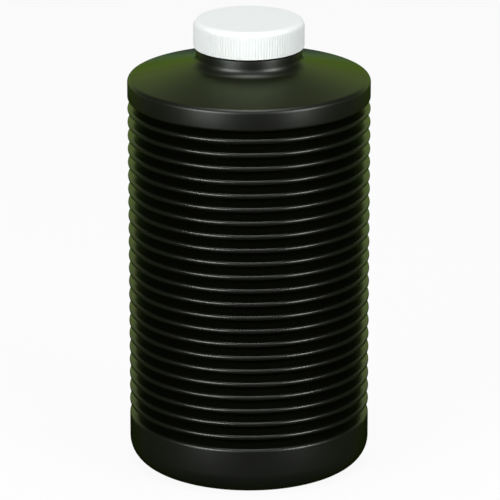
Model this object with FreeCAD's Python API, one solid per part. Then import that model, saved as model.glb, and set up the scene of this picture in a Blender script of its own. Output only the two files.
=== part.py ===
"""Collapsible bottle of black polyethylene with pleated walls and a white screw cap.

Millimetres, +Z up. The origin is on the floor at the centre of the base.
The bottle is one blow moulding. It is divided only at the bottom of its lowest and highest
groove, because the pleats fold when the bottle is pushed down and both its ends stay rigid.
"""
import FreeCAD, Part
import math
import os

from FreeCAD import Vector

# Body and pleats
body_radius = 49.0           # over the crests, the base wall and the band under the shoulder
wall = 1.0                   # thickness of the moulded wall
pleat_count = 23
pleat_pitch = 5.635
pleat_depth = 7.0            # from the crests down to the bottom of the grooves
crest_radius = 1.1           # rounding of each crest

# Base cup
base_edge_height = 19.2      # where the upright wall ends
base_edge_radius = 1.5
base_groove_rise = 3.4       # from there to the bottom of the lowest groove
heel_radius = 9.5            # rounding between the upright wall and the foot ring
foot_width = 3.0             # flat ring that the bottle stands on
push_up_height = 3.0         # the middle of the base is raised, so that the bottle can't rock
push_up_run = 6.0            # width of the slope from the foot ring to the raised middle

# Shoulder
band_edge_rise = 2.4         # from the bottom of the highest groove to the lower end of the band
band_edge_radius = 1.2
band_height = 5.9            # upright stretch of the band
shoulder_edge_radius = 2.0
shoulder_slope = 13.0        # degrees, from its edge up to the neck's fillet
neck_fillet_radius = 4.0

# Neck
collar_step = 1.9            # by which the collar is wider than the finish
collar_length = 2.75         # upright stretch between the fillet and the cap
finish_radius = 19.4         # the part of the neck that goes into the cap, without its thread
finish_wall = 1.6
rim_rounding = 0.5

# Screw cap and its sealing disc
thread_room = 1.1            # between the finish and the cap's bore
cap_height = 11.15
cap_edge_radius = 2.5
cap_ceiling = 1.6
cap_wall = 1.45              # from the bore to the bottom of the grip grooves
cap_gap = 0.7                # between the collar and the skirt of the closed cap
cap_lead_in = 0.5            # chamfer at the mouth of the bore
grip_groove_count = 120
grip_groove_depth = 0.3
grip_groove_width = 0.9
liner_thickness = 1.2
liner_clearance = 0.3        # between the disc's rim and the cap's bore

# Sizes that follow
groove_radius = body_radius - pleat_depth
lowest_groove_height = base_edge_height + base_groove_rise
highest_groove_height = lowest_groove_height + pleat_count * pleat_pitch
collar_radius = finish_radius + collar_step
bore_radius = finish_radius - finish_wall
cap_bore_radius = finish_radius + thread_room
cap_radius = cap_bore_radius + cap_wall + grip_groove_depth


def polar(centre, radius, degrees):
    """Point at a distance and direction from a centre."""
    turn = math.radians(degrees)
    return (centre[0] + radius * math.cos(turn), centre[1] + radius * math.sin(turn))


def arc(centre, radius, start, end):
    """Arc of an outline, as its first, middle and last point. Directions are in degrees."""
    return [polar(centre, radius, degrees) for degrees in (start, (start + end) / 2, end)]


def revolved(outline):
    """Solid of revolution about Z. The outline is a closed list of (radius, height) points and arcs."""
    items = [item if isinstance(item, list) else [item] for item in outline]
    items = [[Vector(radius, 0, height) for radius, height in item] for item in items]
    edges = []
    for item, following in zip(items, items[1:] + items[:1]):
        if len(item) == 3:
            edges.append(Part.Arc(*item).toShape())
        if item[-1].distanceToPoint(following[0]) > 1e-6:
            edges.append(Part.LineSegment(item[-1], following[0]).toShape())
    face = Part.Face(Part.Wire(edges))
    solid = face.revolve(Vector(0, 0, 0), Vector(0, 0, 1), 360)
    if solid.Volume < 0:
        solid.reverse()
    return solid


def groove_slope(across, up, edge_radius):
    """Slope in degrees of a groove's wall, which runs from its bottom to touch a rounded edge.

    The edge's centre lies across and up from the bottom of the groove.
    """
    direction = math.degrees(math.atan2(up, across))
    return direction - math.degrees(math.asin(edge_radius / math.hypot(across, up)))


def behind_wall(slope, radius):
    """Height of a groove wall's inner face over the bottom of the groove, at a given radius."""
    lean = math.radians(slope)
    return wall / math.cos(lean) + (radius - groove_radius) * math.tan(lean)


def base_cup():
    """Foot ring, rounded heel and upright wall, up to the bottom of the lowest groove."""
    edge = (body_radius - base_edge_radius, base_edge_height)
    slope = groove_slope(edge[0] - groove_radius, lowest_groove_height - edge[1], base_edge_radius)
    heel = (body_radius - heel_radius, heel_radius)
    foot_inner = heel[0] - foot_width
    raised = foot_inner - push_up_run
    flat = groove_radius - wall
    inside = body_radius - wall
    return revolved([
        (0, push_up_height),
        (raised, push_up_height),
        (foot_inner, 0),
        arc(heel, heel_radius, -90, 0),
        arc(edge, base_edge_radius, 0, 90 - slope),
        (groove_radius, lowest_groove_height),
        (flat, lowest_groove_height),
        (flat, lowest_groove_height - behind_wall(slope, flat)),
        (inside, lowest_groove_height - behind_wall(slope, inside)),
        arc(heel, heel_radius - wall, 0, -90),
        (foot_inner, wall),
        (raised, push_up_height + wall),
        (0, push_up_height + wall),
    ])


def bellows():
    """The pleats, from the bottom of the lowest groove to the bottom of the highest.

    Crests are rounded outside. Inside, each crest is a crease and each groove has a narrow flat.
    """
    crest = body_radius - crest_radius
    slope = groove_slope(crest - groove_radius, pleat_pitch / 2, crest_radius)
    flat = groove_radius - wall
    rise = behind_wall(slope, flat)
    crease = flat + (pleat_pitch / 2 - rise) / math.tan(math.radians(slope))
    outside = [(groove_radius, lowest_groove_height)]
    inside = [(flat, lowest_groove_height)]
    for pleat in range(pleat_count):
        bottom = lowest_groove_height + pleat * pleat_pitch
        middle = bottom + pleat_pitch / 2
        top = bottom + pleat_pitch
        outside.append(arc((crest, middle), crest_radius, slope - 90, 90 - slope))
        outside.append((groove_radius, top))
        inside.append((flat, bottom + rise))
        inside.append((crease, middle))
        inside.append((flat, top - rise))
    inside.append((flat, highest_groove_height))
    return revolved(outside + inside[::-1])


def shoulder_shape():
    """Centres of the rounding under the band, of the shoulder's edge and of the neck's fillet."""
    band = (body_radius - band_edge_radius, highest_groove_height + band_edge_rise)
    edge = (body_radius - shoulder_edge_radius, band[1] + band_height)
    lean = math.radians(shoulder_slope)
    fillet_radius = collar_radius + neck_fillet_radius
    rise = (shoulder_edge_radius + neck_fillet_radius) / math.cos(lean)
    rise += (edge[0] - fillet_radius) * math.tan(lean)
    return band, edge, (fillet_radius, edge[1] + rise)


band_centre, edge_centre, fillet_centre = shoulder_shape()
collar_top = fillet_centre[1] + collar_length
cap_bottom = collar_top + cap_gap
cap_top = cap_bottom + cap_height
liner_top = cap_top - cap_ceiling
rim_height = liner_top - liner_thickness


def shoulder_neck():
    """Band, sloping shoulder and neck, from the bottom of the highest groove to the rim."""
    rise = band_centre[1] - highest_groove_height
    slope = groove_slope(band_centre[0] - groove_radius, rise, band_edge_radius)
    rim = (finish_radius - rim_rounding, rim_height - rim_rounding)
    upright = 90 - shoulder_slope
    flat = groove_radius - wall
    inside = body_radius - wall
    return revolved([
        (groove_radius, highest_groove_height),
        arc(band_centre, band_edge_radius, slope - 90, 0),
        arc(edge_centre, shoulder_edge_radius, 0, upright),
        arc(fillet_centre, neck_fillet_radius, upright + 180, 180),
        (collar_radius, collar_top),
        (finish_radius, collar_top),
        arc(rim, rim_rounding, 0, 90),
        (bore_radius, rim_height),
        (bore_radius, collar_top - wall),
        arc(fillet_centre, neck_fillet_radius + wall, 180, upright + 180),
        arc(edge_centre, shoulder_edge_radius - wall, upright, 0),
        (inside, highest_groove_height + behind_wall(slope, inside)),
        (flat, highest_groove_height + behind_wall(slope, flat)),
        (flat, highest_groove_height),
    ])


def grip_groove():
    """Upright V-shaped cutter for one groove of the cap's grip, on the +X side."""
    bottom = Vector(cap_radius - grip_groove_depth, 0, cap_bottom - grip_groove_depth)
    corners = [bottom]
    for side in (-1, 1):
        lip = Vector(cap_radius, side * grip_groove_width / 2, bottom.z)
        corners.append(bottom + (lip - bottom) * 2)
    face = Part.Face(Part.makePolygon(corners + [bottom]))
    return face.extrude(Vector(0, 0, cap_height + grip_groove_depth))


def screw_cap():
    """White cap, closed: round top edge, fine upright grooves for the grip, open below."""
    edge = (cap_radius - cap_edge_radius, cap_top - cap_edge_radius)
    cap = revolved([
        (0, liner_top),
        (cap_bore_radius, liner_top),
        (cap_bore_radius, cap_bottom + cap_lead_in),
        (cap_bore_radius + cap_lead_in, cap_bottom),
        (cap_radius, cap_bottom),
        arc(edge, cap_edge_radius, 0, 90),
        (0, cap_top),
    ])
    cutters = []
    for number in range(grip_groove_count):
        cutter = grip_groove()
        cutter.rotate(Vector(0, 0, 0), Vector(0, 0, 1), number * 360 / grip_groove_count)
        cutters.append(cutter)
    return cap.cut(Part.makeCompound(cutters))


def cap_liner():
    """Soft sealing disc in the cap's ceiling, which the neck's rim presses on."""
    return Part.makeCylinder(
        cap_bore_radius - liner_clearance, liner_thickness, Vector(0, 0, rim_height)
    )


os.makedirs("parts", exist_ok=True)
for piece in (base_cup, bellows, shoulder_neck, screw_cap, cap_liner):
    shape = piece()
    shape.exportStep("parts/" + piece.__name__ + ".step")
    size = shape.optimalBoundingBox(False)
    print(
        piece.__name__, shape.ShapeType, "valid", shape.isValid(), "solids", len(shape.Solids),
        "volume", round(shape.Volume, 1), "z", round(size.ZMin, 2), round(size.ZMax, 2),
        "radius", round(size.XMax, 2),
    )
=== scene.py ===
import math

import bpy
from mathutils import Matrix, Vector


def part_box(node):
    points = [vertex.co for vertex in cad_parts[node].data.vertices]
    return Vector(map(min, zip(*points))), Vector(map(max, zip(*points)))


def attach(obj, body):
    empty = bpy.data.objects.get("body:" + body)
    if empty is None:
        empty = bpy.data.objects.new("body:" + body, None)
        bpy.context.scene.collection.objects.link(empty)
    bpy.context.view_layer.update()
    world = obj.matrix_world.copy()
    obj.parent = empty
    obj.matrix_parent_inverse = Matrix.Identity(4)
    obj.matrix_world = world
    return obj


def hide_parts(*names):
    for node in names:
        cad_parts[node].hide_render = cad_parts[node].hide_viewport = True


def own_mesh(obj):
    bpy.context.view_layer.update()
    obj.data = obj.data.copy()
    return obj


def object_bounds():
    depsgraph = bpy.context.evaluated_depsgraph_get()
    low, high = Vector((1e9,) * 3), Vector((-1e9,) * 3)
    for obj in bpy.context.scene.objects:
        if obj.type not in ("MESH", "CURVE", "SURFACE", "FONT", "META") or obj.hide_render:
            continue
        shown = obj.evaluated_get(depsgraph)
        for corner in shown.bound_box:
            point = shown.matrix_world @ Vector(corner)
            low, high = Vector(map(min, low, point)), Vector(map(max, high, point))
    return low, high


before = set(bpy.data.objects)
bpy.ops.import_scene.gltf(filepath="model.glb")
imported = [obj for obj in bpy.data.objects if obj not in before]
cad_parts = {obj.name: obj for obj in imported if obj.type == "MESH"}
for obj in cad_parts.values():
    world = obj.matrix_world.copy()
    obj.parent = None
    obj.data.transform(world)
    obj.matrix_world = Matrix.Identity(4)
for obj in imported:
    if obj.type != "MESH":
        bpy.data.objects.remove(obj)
cad_low, cad_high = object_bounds()

# Base of the bottle: the rounded cup under the pleats, part of one blow moulding in black
# polyethylene. It stands on a narrow flat ring, and its middle is raised. The mould's two
# halves pinch off the end of the soft tube there, which leaves a short straight seam.
mm = 0.001
on_axis = 0.004 * mm          # radius of a ring that closes to a point when doubles are merged
merge_distance = 0.01 * mm
round_sides = 152             # vertices in a ring of the bottle
wall = 1.0 * mm
groove_radius = 42.0 * mm     # bottoms of the grooves between the pleats
groove_fillet = 0.4 * mm      # rounding at their bottoms
heel_radius = 9.5 * mm
foot_width = 3.0 * mm
push_up_height = 3.0 * mm
push_up_run = 6.0 * mm
push_up_rounding = 2.5 * mm
push_up_shift = 0.625 * mm    # of the upper rounding inwards, which brings its end to the slope
base_edge_radius = 1.5 * mm
base_groove_rise = 3.4 * mm   # from the end of the upright wall to the bottom of the lowest groove
pinch_height = 0.7 * mm
pinch_length = 46.0 * mm
pinch_width = 1.6 * mm
pinch_tip_length = 44.0 * mm  # along the seam's narrow lower edge
pinch_tip_width = 0.8 * mm
pinch_rounding = 0.2 * mm

base_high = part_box("base_cup")[1]
body_radius = base_high.x
lowest_groove = base_high.z


def polar(centre, radius, degrees):
    """Point at a distance and direction from a centre, in the plane of an outline."""
    turn = math.radians(degrees)
    return (centre[0] + radius * math.cos(turn), centre[1] + radius * math.sin(turn))


def arc(centre, radius, start, end, steps):
    """Points on an arc of an outline. Directions are in degrees."""
    return [polar(centre, radius, start + (end - start) * step / steps) for step in range(steps + 1)]


def groove_slope(radius, rise, rounding):
    """Slope in degrees of the wall between a groove's rounded bottom and a rounded edge.

    The edge's centre is at a radius, and at a rise over or under the bottom of the groove.
    """
    across = radius - groove_radius - groove_fillet
    lean = math.asin((rounding + groove_fillet) / math.hypot(across, rise))
    return math.degrees(math.atan2(rise, across) - lean)


def below_groove(height, slope, steps):
    """Rounding of a groove, from the wall below it to its bottom at a height."""
    return arc((groove_radius + groove_fillet, height), groove_fillet, 270 - slope, 180, steps)


def above_groove(height, slope, steps):
    """Rounding of a groove, from its bottom at a height to the wall above it."""
    return arc((groove_radius + groove_fillet, height), groove_fillet, 180, 90 + slope, steps)


def cleaned(piece):
    """Merges doubles and turns the faces outward."""
    bpy.ops.object.mode_set(mode="EDIT")
    bpy.ops.mesh.select_all(action="SELECT")
    bpy.ops.mesh.remove_doubles(threshold=merge_distance)
    bpy.ops.mesh.normals_make_consistent(inside=False)
    bpy.ops.object.mode_set(mode="OBJECT")


def turned(name, outline, sides):
    """Round piece: a ring is extruded through the points of its outline, each a radius and a height."""
    radius, height = outline[0]
    bpy.ops.object.select_all(action="DESELECT")
    bpy.ops.mesh.primitive_circle_add(vertices=sides, radius=radius, location=(0, 0, height))
    piece = bpy.context.object
    piece.name = name
    piece.data.name = name
    bpy.ops.object.transform_apply()
    bpy.ops.object.mode_set(mode="EDIT")
    bpy.ops.mesh.select_all(action="SELECT")
    for next_radius, next_height in outline[1:]:
        bpy.ops.mesh.extrude_region_move(TRANSFORM_OT_translate={"value": (0, 0, next_height - height)})
        share = next_radius / radius
        bpy.ops.transform.resize(value=(share, share, 1), center_override=(0, 0, 0))
        radius, height = next_radius, next_height
    bpy.ops.object.mode_set(mode="OBJECT")
    cleaned(piece)
    return piece


def choose(piece, wanted):
    """Selects the vertices whose place is wanted, and their edges and faces, in edit mode."""
    bpy.ops.object.mode_set(mode="EDIT")
    bpy.ops.mesh.select_mode(type="VERT")
    bpy.ops.mesh.select_all(action="DESELECT")
    bpy.ops.object.mode_set(mode="OBJECT")
    for vertex in piece.data.vertices:
        vertex.select = wanted(vertex.co)
    bpy.ops.object.mode_set(mode="EDIT")


def united(piece, part):
    """Makes a part one with a piece."""
    union = piece.modifiers.new("union", "BOOLEAN")
    union.operation = "UNION"
    union.solver = "EXACT"
    union.object = part
    bpy.context.view_layer.objects.active = piece
    bpy.ops.object.modifier_apply(modifier="union")
    bpy.data.objects.remove(part)
    cleaned(piece)


def parting_line(piece, width, height, wanted):
    """Raises a fine ridge where the mould's halves met, in the plane y = 0, on the wanted surface."""
    choose(piece, lambda co: abs(co.y) < merge_distance and wanted(co))
    bpy.ops.mesh.bevel(offset=width / 2, segments=2, affect="EDGES")
    bpy.ops.object.mode_set(mode="OBJECT")
    choose(piece, lambda co: abs(co.y) < merge_distance and wanted(co))
    bpy.ops.transform.shrink_fatten(value=height)
    bpy.ops.object.mode_set(mode="OBJECT")


def smoothed(piece, degrees):
    """Smooth shading, apart from edges sharper than the given angle."""
    bpy.ops.object.select_all(action="DESELECT")
    piece.select_set(True)
    bpy.context.view_layer.objects.active = piece
    bpy.ops.object.shade_smooth_by_angle(angle=math.radians(degrees))


def with_wall(piece):
    """Gives a turned surface the moulding's wall, inwards."""
    solidify = piece.modifiers.new("wall", "SOLIDIFY")
    solidify.thickness = wall
    solidify.offset = -1
    solidify.use_even_offset = True
    bpy.context.view_layer.objects.active = piece
    bpy.ops.object.modifier_apply(modifier="wall")


heel = (body_radius - heel_radius, heel_radius)
foot_inner = heel[0] - foot_width
base_edge = (body_radius - base_edge_radius, lowest_groove - base_groove_rise)
base_slope = groove_slope(base_edge[0], base_groove_rise, base_edge_radius)
push_up_slope = math.degrees(math.atan2(push_up_height, push_up_run))
raised = foot_inner - push_up_run
bottle_base = turned("bottle_base", [
    (on_axis, push_up_height),
    (raised / 2, push_up_height),
    *arc((raised - push_up_shift, push_up_height - push_up_rounding),
         push_up_rounding, 90, 90 - push_up_slope, steps=3),
    *arc((foot_inner, push_up_rounding), push_up_rounding, 270 - push_up_slope, 270, steps=3),
    *arc(heel, heel_radius, -90, 0, steps=12),
    *arc(base_edge, base_edge_radius, 0, 90 - base_slope, steps=6),
    *below_groove(lowest_groove, base_slope, steps=3),
], round_sides)
with_wall(bottle_base)
bpy.ops.object.select_all(action="DESELECT")
bpy.ops.mesh.primitive_cube_add(size=1, location=(0, 0, push_up_height))
pinch_seam = bpy.context.object
bpy.ops.object.mode_set(mode="EDIT")
bpy.ops.transform.resize(value=(pinch_length, pinch_width, 2 * pinch_height))
bpy.ops.object.mode_set(mode="OBJECT")
choose(pinch_seam, lambda co: co.z < 0)
taper = (pinch_tip_length / pinch_length, pinch_tip_width / pinch_width, 1)
bpy.ops.transform.resize(value=taper)
bpy.ops.mesh.select_all(action="SELECT")
bpy.ops.mesh.bevel(offset=pinch_rounding, segments=2, affect="EDGES")
bpy.ops.object.mode_set(mode="OBJECT")
united(bottle_base, pinch_seam)
smoothed(bottle_base, degrees=35)


class Reading:
    """A value of a material, from a node's output. Sums on it add Math nodes, node() adds any other."""

    def __init__(self, tree, socket=None):
        self.tree = tree
        self.socket = socket

    def node(self, kind, settings=None, sockets=None, result=0):
        made = self.tree.nodes.new("ShaderNode" + kind)
        for name, value in (settings or {}).items():
            setattr(made, name, value)
        for name, value in (sockets or {}).items():
            if isinstance(value, Reading):
                self.tree.links.new(value.socket, made.inputs[name])
            else:
                made.inputs[name].default_value = value
        return Reading(self.tree, made.outputs[result])

    def maths(self, operation, first, second):
        return self.node("Math", {"operation": operation}, {0: first, 1: second})

    def __add__(self, other):
        return self.maths("ADD", self, other)

    def __sub__(self, other):
        return self.maths("SUBTRACT", self, other)

    def __rsub__(self, other):
        return self.maths("SUBTRACT", other, self)

    def __mul__(self, other):
        return self.maths("MULTIPLY", self, other)

    __radd__ = __add__
    __rmul__ = __mul__


def between(share, first, second):
    """Colour between two. Sockets 6 and 7 and output 2 are the Mix node's colours."""
    return share.node("Mix", {"data_type": "RGBA"}, {"Factor": share, 6: first, 7: second}, 2)


def eased(reading, start, end):
    """Goes softly from 0 to 1 while a reading goes from the start to the end."""
    return reading.node("MapRange", {"interpolation_type": "SMOOTHSTEP"}, {
        "Value": reading, "From Min": start, "From Max": end,
    })


def finish_of(name, constants):
    """New material whose Principled shader has the given constant values."""
    material = bpy.data.materials.new(name)
    material.use_nodes = True
    tree = material.node_tree
    shader = tree.nodes["Principled BSDF"]
    for socket, value in constants.items():
        shader.inputs[socket].default_value = value
    return material, Reading(tree), shader


def feed(shader, socket, reading):
    """Links what varies over the surface to the shader."""
    reading.tree.links.new(reading.socket, shader.inputs[socket])


# Black polyethylene, as blow moulded: satin, with fine grain and faint clouds in its gloss. The
# pleats, pulled out thinnest, shine most. The coat adds no gloss and only tints: what is seen at
# a flat angle has an olive cast, which is a little weaker at the flattest angles.
satin = 0.32                  # roughness of the base and the shoulder
pleat_shine = 0.09            # by which the pleats are smoother
cloud_share = 0.06            # by which clouds and grain add to the roughness
grain_share = 0.05
cloud_scale = 35.0            # patches about 3 cm across
grain_scale = 1400.0          # specks under 1 mm
grain_height = 0.05 * mm
base_finish_top = 15.0 * mm   # the finish changes over from here
pleat_finish_bottom = 25.0 * mm
pleat_finish_top = 149.0 * mm
shoulder_finish_bottom = 156.0 * mm
flat_view = 0.80              # 0 looks straight on and 1 along the surface
flattest_view = 0.90
cast_loss = 0.15              # of the olive cast, from flat to flattest
polyethylene_dark = (0.0024, 0.0026, 0.0022, 1)
polyethylene_light = (0.0044, 0.0047, 0.0040, 1)
black_polyethylene, surface, shader = finish_of("black_polyethylene", {
    "IOR": 1.52,
    "Specular IOR Level": 1.0,
    "Specular Tint": (0.63, 0.59, 0.86, 1),
    "Coat IOR": 1.0,
    "Coat Roughness": 0.4,
    "Coat Tint": (0.80, 0.885, 0.60, 1),
})
place = surface.node("TexCoord", result="Object")
clouds = surface.node("TexNoise", {}, {"Vector": place, "Scale": cloud_scale, "Detail": 3.0}, "Fac")
grain = surface.node("TexNoise", {}, {"Vector": place, "Scale": grain_scale, "Detail": 2.0}, "Fac")
feed(shader, "Base Color", between(clouds, polyethylene_dark, polyethylene_light))
height = surface.node("SeparateXYZ", {}, {"Vector": place}, "Z")
over_base = eased(height, base_finish_top, pleat_finish_bottom)
over_pleats = eased(height, pleat_finish_top, shoulder_finish_bottom)
on_pleats = over_base - over_pleats
feed(shader, "Roughness", satin - pleat_shine * on_pleats + cloud_share * clouds + grain_share * grain)
flatness = eased(surface.node("LayerWeight", {}, {"Blend": 0.5}, "Facing"), flat_view, flattest_view)
feed(shader, "Coat Weight", 1.0 - cast_loss * flatness)
feed(shader, "Normal", surface.node("Bump", {}, {
    "Strength": 0.15, "Distance": grain_height, "Height": grain,
}))

bottle_base.data.materials.append(black_polyethylene)
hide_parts("base_cup")
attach(bottle_base, "base")

# Pleats: 23 rounded crests with deep grooves between them, in the same moulding. They fold when
# the bottle is pushed down; here the piece only moves with the base.
pleat_count = 23
crest_radius = 1.1 * mm

bellows_low, bellows_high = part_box("bellows")
pleat_pitch = (bellows_high.z - bellows_low.z) / pleat_count
crest = (body_radius - crest_radius, lowest_groove + pleat_pitch / 2)
pleat_slope = groove_slope(crest[0], pleat_pitch / 2, crest_radius)
bottle_pleats = turned("bottle_pleats", [
    *above_groove(lowest_groove, pleat_slope, steps=2),
    *arc(crest, crest_radius, pleat_slope - 90, 90 - pleat_slope, steps=8),
    *below_groove(lowest_groove + pleat_pitch, pleat_slope, steps=2),
], round_sides)
stacked = bottle_pleats.modifiers.new("pleats", "ARRAY")
stacked.count = pleat_count
stacked.use_relative_offset = False
stacked.use_constant_offset = True
stacked.constant_offset_displace = (0, 0, pleat_pitch)
stacked.use_merge_vertices = True
stacked.merge_threshold = merge_distance
bpy.ops.object.modifier_apply(modifier="pleats")
with_wall(bottle_pleats)
smoothed(bottle_pleats, degrees=60)
bottle_pleats.data.materials.append(black_polyethylene)
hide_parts("bellows")
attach(bottle_pleats, "base")
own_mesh(bottle_pleats)

# Shoulder and neck, still the same moulding: an upright band over the top pleat, an even slope,
# and the wide neck with its collar and the threaded finish that goes into the cap. The mould's
# halves met in a low soft ridge across the slope, to the left and right of the neck.
band_edge_rise = 2.4 * mm
band_edge_radius = 1.2 * mm
band_height = 5.9 * mm
shoulder_edge_radius = 2.0 * mm
shoulder_slope = 13.0         # degrees
neck_fillet_radius = 4.0 * mm
collar_radius = 21.3 * mm
finish_radius = 19.4 * mm
finish_wall = 1.6 * mm
rim_rounding = 0.5 * mm
collar_length = 2.75 * mm
collar_rounding = 0.4 * mm
thread_pitch = 4.0 * mm
thread_depth = 0.85 * mm
thread_root_width = 1.9 * mm
thread_crest_width = 0.9 * mm
thread_sunk = 0.3 * mm        # of a thread's foot in the wall that it stands on
thread_steps = 72             # sections in one turn
thread_taper_steps = 8        # sections over which its ends rise
neck_thread_turns = 1.4
parting_width = 1.4 * mm
parting_height = 0.08 * mm

highest_groove = bellows_high.z
rim_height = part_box("shoulder_neck")[1].z
band_edge = (body_radius - band_edge_radius, highest_groove + band_edge_rise)
shoulder_edge = (body_radius - shoulder_edge_radius, band_edge[1] + band_height)
lean = math.radians(shoulder_slope)
fillet_across = collar_radius + neck_fillet_radius
fillet_rise = (shoulder_edge_radius + neck_fillet_radius) / math.cos(lean)
fillet_rise += (shoulder_edge[0] - fillet_across) * math.tan(lean)
fillet = (fillet_across, shoulder_edge[1] + fillet_rise)
upright = 90 - shoulder_slope
collar_top = fillet[1] + collar_length
band_slope = groove_slope(band_edge[0], band_edge_rise, band_edge_radius)
bore_radius = finish_radius - finish_wall
neck_thread_height = collar_top + thread_root_width
bottle_shoulder = turned("bottle_shoulder", [
    *above_groove(highest_groove, band_slope, steps=3),
    *arc(band_edge, band_edge_radius, band_slope - 90, 0, steps=6),
    *arc(shoulder_edge, shoulder_edge_radius, 0, upright, steps=8),
    *arc(fillet, neck_fillet_radius, upright + 180, 180, steps=10),
    *arc((collar_radius - collar_rounding, collar_top - collar_rounding),
         collar_rounding, 0, 90, steps=3),
    (finish_radius, collar_top),
    *arc((finish_radius - rim_rounding, rim_height - rim_rounding), rim_rounding, 0, 90, steps=4),
    *arc((bore_radius + rim_rounding, rim_height - rim_rounding), rim_rounding, 90, 180, steps=4),
    (bore_radius, collar_top - wall),
    *arc(fillet, neck_fillet_radius + wall, 180, upright + 180, steps=8),
    *arc(shoulder_edge, shoulder_edge_radius - wall, upright, 0, steps=4),
    (body_radius - wall, band_edge[1]),
    (groove_radius - wall, highest_groove + wall),
    (groove_radius - wall, highest_groove),
    (groove_radius, highest_groove),
], round_sides)


def on_shoulder(co):
    """Whether a vertex lies on the outside of the shoulder's slope, from its edge to the fillet."""
    rise = (shoulder_edge[0] - abs(co.x)) * math.tan(lean)
    outside = co.z > shoulder_edge[1] + rise + shoulder_edge_radius - wall / 2
    return outside and collar_radius + wall < abs(co.x) < body_radius - wall


def thread(name, root_radius, crest_radius, height, first_turn, last_turn):
    """Ridge of the screw thread, wound round Z and tapered off at both ends.

    Its middle is at a height on the +X side and rises with each turn counter-clockwise.
    """
    start = height + thread_pitch * first_turn
    foot_radius = root_radius - math.copysign(thread_sunk, crest_radius - root_radius)
    middle = (foot_radius + crest_radius) / 2
    bpy.ops.object.select_all(action="DESELECT")
    bpy.ops.mesh.primitive_plane_add(size=1, location=(middle, 0, start), rotation=(math.pi / 2, 0, 0))
    ridge = bpy.context.object
    ridge.name = name
    bpy.ops.object.transform_apply()
    bpy.ops.object.mode_set(mode="EDIT")
    bpy.ops.mesh.select_all(action="SELECT")
    size = (abs(crest_radius - foot_radius), 1, thread_root_width)
    bpy.ops.transform.resize(value=size, center_override=(middle, 0, start))
    bpy.ops.object.mode_set(mode="OBJECT")
    choose(ridge, lambda co: abs(co.x - crest_radius) < merge_distance)
    narrowing = thread_crest_width / thread_root_width
    bpy.ops.transform.resize(value=(1, 1, narrowing), center_override=(crest_radius, 0, start))
    bpy.ops.mesh.select_all(action="SELECT")
    bpy.ops.transform.rotate(value=-2 * math.pi * first_turn, orient_axis="Z", center_override=(0, 0, 0))
    share = 1
    steps = round((last_turn - first_turn) * thread_steps)
    for step in range(steps + 1):
        if step > 0:
            bpy.ops.mesh.extrude_region_move()
            bpy.ops.transform.rotate(
                value=-2 * math.pi / thread_steps, orient_axis="Z", center_override=(0, 0, 0)
            )
            bpy.ops.transform.translate(value=(0, 0, thread_pitch / thread_steps))
        from_end = min(step, steps - step)
        wanted_share = min(1, (from_end + 1) / thread_taper_steps)
        foot = polar((0, 0), root_radius, 360 * (first_turn + step / thread_steps))
        foot_height = start + step * thread_pitch / thread_steps
        bpy.ops.transform.resize(
            value=[wanted_share / share] * 3, center_override=(foot[0], foot[1], foot_height)
        )
        share = wanted_share
    bpy.ops.object.mode_set(mode="OBJECT")
    cleaned(ridge)
    return ridge


parting_line(bottle_shoulder, parting_width, parting_height, on_shoulder)
neck_thread = thread(
    "neck_thread", finish_radius, finish_radius + thread_depth, neck_thread_height, 0, neck_thread_turns
)
united(bottle_shoulder, neck_thread)
smoothed(bottle_shoulder, degrees=35)
bottle_shoulder.data.materials.append(black_polyethylene)
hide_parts("shoulder_neck")
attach(bottle_shoulder, "shoulder")

# Sealing disc: a round of white foamed polyethylene, die-cut and pressed into the cap's ceiling,
# so that the rim of the neck seals against it.
liner_low, liner_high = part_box("cap_liner")
liner_radius = liner_high.x
rim_mark_depth = 0.1 * mm     # where the rim has pressed into the foam
rim_mark_margin = 0.2 * mm    # by which the mark is wider than the rim on each side
rim_mark_run = 0.5 * mm       # of the slope to its bottom
disc_rounding = 0.12 * mm
disc_sides = 96
cell_scale = 1800.0           # foam cells about half a millimetre across
cell_depth = 0.1 * mm
foam_shade = (0.80, 0.79, 0.74, 1)
foam_white = (0.88, 0.87, 0.83, 1)
sealing_disc = turned("sealing_disc", [
    (on_axis, liner_low.z),
    (bore_radius - rim_mark_margin - rim_mark_run, liner_low.z),
    (bore_radius - rim_mark_margin, liner_low.z + rim_mark_depth),
    (finish_radius + rim_mark_margin, liner_low.z + rim_mark_depth),
    (finish_radius + rim_mark_margin + rim_mark_run / 2, liner_low.z),
    (liner_radius - disc_rounding, liner_low.z),
    (liner_radius, liner_low.z + disc_rounding),
    (liner_radius, liner_high.z - disc_rounding),
    (liner_radius - disc_rounding, liner_high.z),
    (on_axis, liner_high.z),
], disc_sides)
smoothed(sealing_disc, degrees=30)
foam, surface, shader = finish_of("liner_foam", {"Specular IOR Level": 0.3})
place = surface.node("TexCoord", result="Object")
cells = surface.node("TexVoronoi", {}, {"Vector": place, "Scale": cell_scale}, "Distance")
feed(shader, "Base Color", between(cells, foam_shade, foam_white))
feed(shader, "Roughness", 0.65 + 0.2 * cells)
feed(shader, "Normal", surface.node("Bump", {}, {
    "Strength": 0.4, "Distance": cell_depth, "Height": cells,
}))
sealing_disc.data.materials.append(foam)
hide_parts("cap_liner")
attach(sealing_disc, "liner")

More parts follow.
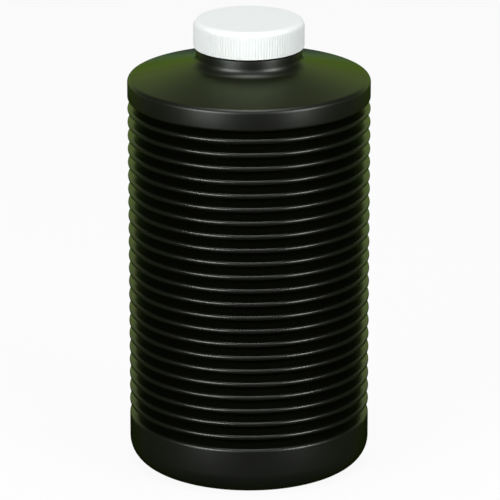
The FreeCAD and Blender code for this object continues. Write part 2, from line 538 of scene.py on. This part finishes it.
# Screw cap: injection moulded in white polypropylene, with a plain top, a rounded edge and fine
# upright ribs to grip. Inside, it has the thread that runs under the neck's.
cap_low, cap_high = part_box("screw_cap")
cap_radius = 22.25 * mm
cap_edge_radius = 2.5 * mm
cap_bore_radius = 20.5 * mm
rib_count = 120
rib_depth = 0.28 * mm
rib_steps = 6                 # vertices in one rib and its groove
top_rings = (8.0 * mm, 16.0 * mm)
cap_edge = (cap_radius - cap_edge_radius, cap_high.z - cap_edge_radius)
skirt_rounding = 0.3 * mm
cap_lead_in = 0.5 * mm
cap_thread_start = 0.55       # turns round from the start of the neck's thread
cap_thread_end = 1.85
thread_engagement = 1.3 * mm  # by which the closed cap's thread lies under the neck's
flow_scale = 60.0             # faint unevenness, patches under 2 cm
flow_height = 0.05 * mm
cap_shade = (0.80, 0.845, 0.83, 1)
cap_white = (0.84, 0.87, 0.86, 1)
screw_cap = turned("cap_shell", [
    (on_axis, cap_high.z),
    *[(radius, cap_high.z) for radius in top_rings],
    *arc(cap_edge, cap_edge_radius, 90, 0, steps=10),
    *arc((cap_radius - skirt_rounding, cap_low.z + skirt_rounding), skirt_rounding, 0, -90, steps=3),
    (cap_bore_radius + cap_lead_in, cap_low.z),
    (cap_bore_radius, cap_low.z + cap_lead_in),
    (cap_bore_radius, liner_high.z),
    (top_rings[0], liner_high.z),
    (on_axis, liner_high.z),
], rib_count * rib_steps)


def groove_share(co):
    """How far a vertex of the cap lies in a grip groove, from 0 on a rib to 1 in the groove.

    Rounded, so that the shares of like vertices are equal.
    """
    turn = math.atan2(co.y, co.x) / (2 * math.pi) * rib_count
    return round((1 - math.cos(2 * math.pi * turn)) / 2, 3)


ring_heights = sorted({round(v.co.z, 7) for v in screw_cap.data.vertices})
for share in sorted({groove_share(v.co) for v in screw_cap.data.vertices} - {0}):
    bottom = cap_radius - share * rib_depth
    for ring_height in ring_heights:
        choose(screw_cap, lambda co: abs(co.z - ring_height) < merge_distance
               and math.hypot(co.x, co.y) > bottom + merge_distance and groove_share(co) == share)
        picked = [v for v in screw_cap.data.vertices if v.select]
        if picked:
            ring = math.hypot(picked[0].co.x, picked[0].co.y)
            bpy.ops.transform.resize(value=(bottom / ring, bottom / ring, 1), center_override=(0, 0, 0))
        bpy.ops.object.mode_set(mode="OBJECT")
cap_thread = thread(
    "cap_thread", cap_bore_radius, cap_bore_radius - thread_depth,
    neck_thread_height - thread_engagement, cap_thread_start, cap_thread_end,
)
united(screw_cap, cap_thread)
smoothed(screw_cap, degrees=40)
white_polypropylene, surface, shader = finish_of("white_polypropylene", {
    "IOR": 1.49,
    "Specular IOR Level": 0.4,
})
place = surface.node("TexCoord", result="Object")
flow = surface.node("TexNoise", {}, {"Vector": place, "Scale": flow_scale, "Detail": 2.0}, "Fac")
feed(shader, "Base Color", between(flow, cap_shade, cap_white))
feed(shader, "Roughness", 0.32 + 0.08 * flow)
feed(shader, "Normal", surface.node("Bump", {}, {
    "Strength": 0.1, "Distance": flow_height, "Height": flow,
}))
screw_cap.data.materials.append(white_polypropylene)
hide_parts("screw_cap")
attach(screw_cap, "cap")

# Pale floor: white to the camera, with a soft shadow round the bottle. In the black plastic only
# its far part, behind the bottle, is mirrored white, because the photograph shows it dark in front.
floor_width = 40.0            # metres
floor_white = 0.92            # share of plain white, the rest is lit
far_behind_from = 0.0         # metres behind the bottle
far_behind_to = 2.2
floor_as_lit = (0.08, 0.08, 0.08, 1)
floor_as_seen = (0.80, 0.80, 0.80, 1)
bpy.ops.object.select_all(action="DESELECT")
bpy.ops.mesh.primitive_plane_add(size=floor_width)
floor = bpy.context.object
floor.name = "floor"
floor_finish, surface, shader = finish_of("floor", {
    "Roughness": 0.8, "Specular IOR Level": 0.0,
})
seen = surface.node("LightPath", result="Is Camera Ray")
mirrored = surface.node("LightPath", result="Is Glossy Ray")
through = surface.node("LightPath", result="Is Transmission Ray")
white = surface.node("Emission", {}, {"Color": (1, 1, 1, 1), "Strength": 1.0})
feed(shader, "Base Color", between(seen, floor_as_lit, floor_as_seen))
lit = Reading(surface.tree, shader.outputs[0])
place = surface.node("TexCoord", result="Object")
behind_bottle = surface.node("SeparateXYZ", {}, {"Vector": place}, "Y")
far_behind = eased(behind_bottle, far_behind_from, far_behind_to)
background = floor_white * (seen + mirrored * far_behind + through)
shown = surface.node("MixShader", {}, {0: background, 1: lit, 2: white})
surface.tree.links.new(shown.socket, surface.tree.nodes["Material Output"].inputs["Surface"])
floor.data.materials.append(floor_finish)

# World: a dim room, with a pale wall behind the bottle that fades out upwards and sidewards. The
# camera sees it all white. Its limits are parts of the direction's length, up and backwards.
world = bpy.data.worlds.new("studio")
bpy.context.scene.world = world
world.use_nodes = True
room_level = 0.07
wall_level = 0.85
wall_fades_up = (0.28, 0.75)  # white below the first, gone above the second
wall_fades_sidewards = (0.90, 0.55)
room = Reading(world.node_tree)
direction = room.node("TexCoord", result="Generated")
height_seen = room.node("SeparateXYZ", {}, {"Vector": direction}, "Z")
depth_seen = room.node("SeparateXYZ", {}, {"Vector": direction}, "Y")
below_top = eased(height_seen, wall_fades_up[1], wall_fades_up[0])
behind = eased(depth_seen, wall_fades_sidewards[1], wall_fades_sidewards[0])
level = room_level + (wall_level - room_level) * (below_top * behind)
seen = room.node("LightPath", result="Is Camera Ray")
background = world.node_tree.nodes["Background"]
background.inputs["Color"].default_value = (1, 1, 1, 1)
feed(background, "Strength", room.maths("MAXIMUM", level, seen))


# Soft boxes: the key on the left, a weaker one on the right, each with a low strip under it that
# the upright walls mirror, a wide one in front, and one overhead that lights neck and shoulder.
def soft_box(name, azimuth, elevation, distance, width, height, power):
    """Area lamp that looks at the middle of the bottle. Azimuth 0 is the camera's side."""
    turn, rise = math.radians(azimuth), math.radians(elevation)
    bpy.ops.object.light_add(type="AREA")
    lamp = bpy.context.object
    lamp.name = name
    lamp.location = (
        distance * math.cos(rise) * math.sin(turn),
        -distance * math.cos(rise) * math.cos(turn),
        cad_high.z / 2 + distance * math.sin(rise),
    )
    lamp.rotation_euler = (math.radians(90) - rise, 0, turn)
    lamp.data.shape = "RECTANGLE"
    lamp.data.size = width
    lamp.data.size_y = height
    lamp.data.energy = power


soft_box("key_box", azimuth=-39, elevation=20, distance=1.3, width=0.80, height=0.24, power=11.2)
soft_box("fill_box", azimuth=50, elevation=20, distance=1.3, width=0.56, height=0.24, power=8.6)
soft_box("key_strip", azimuth=-38, elevation=-4, distance=0.8, width=0.36, height=0.12, power=1.0)
soft_box("fill_strip", azimuth=46, elevation=-4, distance=0.8, width=0.26, height=0.12, power=0.6)
soft_box("front_box", azimuth=10, elevation=30, distance=2.2, width=1.6, height=0.4, power=3.6)
soft_box("top_box", azimuth=0, elevation=84, distance=1.5, width=0.8, height=1.0, power=12.0)

# Camera, at the photograph's distance and height.
camera_data = bpy.data.cameras.new("camera")
camera = bpy.data.objects.new("camera", camera_data)
bpy.context.scene.collection.objects.link(camera)
camera_data.sensor_width = 36.0
camera_data.lens = 300.5
camera_distance = 1.70
camera_elevation = math.radians(18.26)
aim = (0.4 * mm, 0, 88.86 * mm)
camera.location = (
    aim[0],
    -camera_distance * math.cos(camera_elevation),
    aim[2] + camera_distance * math.sin(camera_elevation),
)
camera.rotation_euler = (math.radians(90) - camera_elevation, 0, 0)
bpy.context.scene.camera = camera
bpy.context.scene.view_settings.view_transform = "Standard"
